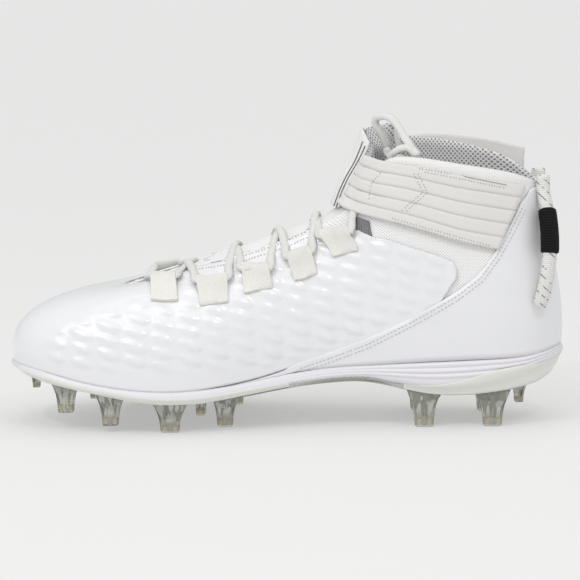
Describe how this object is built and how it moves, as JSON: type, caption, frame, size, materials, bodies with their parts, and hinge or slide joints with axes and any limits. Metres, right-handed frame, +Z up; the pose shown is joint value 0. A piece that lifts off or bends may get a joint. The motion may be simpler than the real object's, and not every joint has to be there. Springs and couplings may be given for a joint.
{
  "type": "american football cleat",
  "caption": "White high-top american football cleat for the right foot, with an ankle strap, laces and moulded studs.",
  "frame": {"origin": "below the middle of the shoe's box, on the floor that the studs stand on", "axes": "+X from toe to heel, +Y to the outer side of the foot, +Z up"},
  "size_m": [0.3076, 0.1126, 0.1705],
  "materials": {
    "white_shell": "gloss",
    "white_leather": "satin",
    "white_knit": "knitted",
    "midsole_foam": "satin",
    "clear_plate": "translucent gloss",
    "strap_web": "woven",
    "lace_web": "woven",
    "lining": "mesh",
    "black_web": "ribbed webbing"
  },
  "bodies": {
    "root": {"upper": "white_knit", "forefoot_shell": "white_shell", "heel_panel": "white_leather", "insole": "lining", "tongue": "lining", "midsole": "midsole_foam", "outsole_plate": "clear_plate", "strap": "strap_web", "lace_bar_front": "lace_web", "lace_bow": "lace_web", "lace_tie": "lace_web", "lace_cross_top": "lace_web", "lace_cross_1": "lace_web", "lace_cross_2": "lace_web", "lace_cross_3": "lace_web", "lace_cross_4": "lace_web", "lace_loop_inner_1": "lace_web", "lace_loop_inner_2": "lace_web", "lace_loop_inner_3": "lace_web", "lace_loop_inner_4": "lace_web", "lace_loop_inner_5": "lace_web", "pull_loop_inner": "lace_web", "pull_sleeve_inner": "black_web", "lace_loop_outer_1": "lace_web", "lace_loop_outer_2": "lace_web", "lace_loop_outer_3": "lace_web", "lace_loop_outer_4": "lace_web", "lace_loop_outer_5": "lace_web", "pull_loop_outer": "lace_web", "pull_sleeve_outer": "black_web", "stud_toe": "clear_plate", "stud_front_inner": "clear_plate", "stud_front_outer": "clear_plate", "stud_fore_inner": "clear_plate", "stud_fore_outer": "clear_plate", "stud_ball_inner": "clear_plate", "stud_ball_outer": "clear_plate", "stud_ball_middle": "clear_plate", "stud_waist_inner": "clear_plate", "stud_waist_outer": "clear_plate", "stud_heel_front_inner": "clear_plate", "stud_heel_front_outer": "clear_plate", "stud_heel_back_inner": "clear_plate", "stud_heel_back_outer": "clear_plate", "stud_heel_middle": "clear_plate"}
  },
  "joints": []
}
